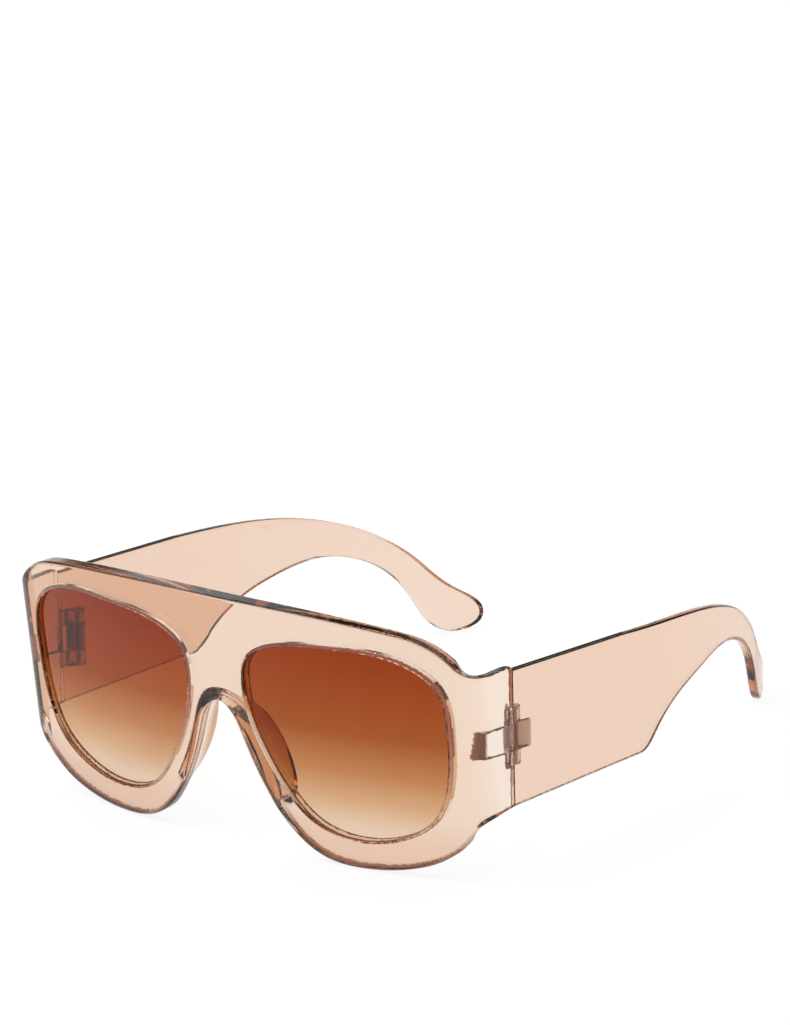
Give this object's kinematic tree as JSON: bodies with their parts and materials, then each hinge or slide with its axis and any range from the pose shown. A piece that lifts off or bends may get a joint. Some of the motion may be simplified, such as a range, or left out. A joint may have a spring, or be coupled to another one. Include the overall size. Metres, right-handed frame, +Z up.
{
  "type": "oversized sunglasses",
  "caption": "Oversized flat-top sunglasses in clear champagne plastic: gradient lenses, moulded nose pads, wide flat temples that fold on screw hinges.",
  "frame": {"origin": "on the floor under the middle of the open pair's box", "axes": "+Z up, +X to the right seen from the front, +Y back along the temples; the pair stands on its rims and temple tips"},
  "size_m": [0.146, 0.142, 0.0628],
  "materials": {
    "clear_frame": "polished, see-through champagne",
    "gradient_lens": "polished, brown fading to pale at the bottom",
    "hinge_screw": "plain"
  },
  "bodies": {
    "front": {"front_frame": "clear_frame", "right_lens": "gradient_lens", "left_lens": "gradient_lens", "right_hinge_screw": "hinge_screw", "left_hinge_screw": "hinge_screw"},
    "right_temple": {"right_temple": "clear_frame"},
    "left_temple": {"left_temple": "clear_frame"}
  },
  "joints": [
    {"name": "right_hinge", "type": "hinge", "parent": "front", "child": "right_temple", "pos_m": [0.0686, -0.04537, 0.03215], "axis": [0, 0.1045, 0.9945], "range_deg": [0, 82]},
    {"name": "left_hinge", "type": "hinge", "parent": "front", "child": "left_temple", "pos_m": [-0.0686, -0.04537, 0.03215], "axis": [0, -0.1045, -0.9945], "range_deg": [0, 73]}
  ]
}
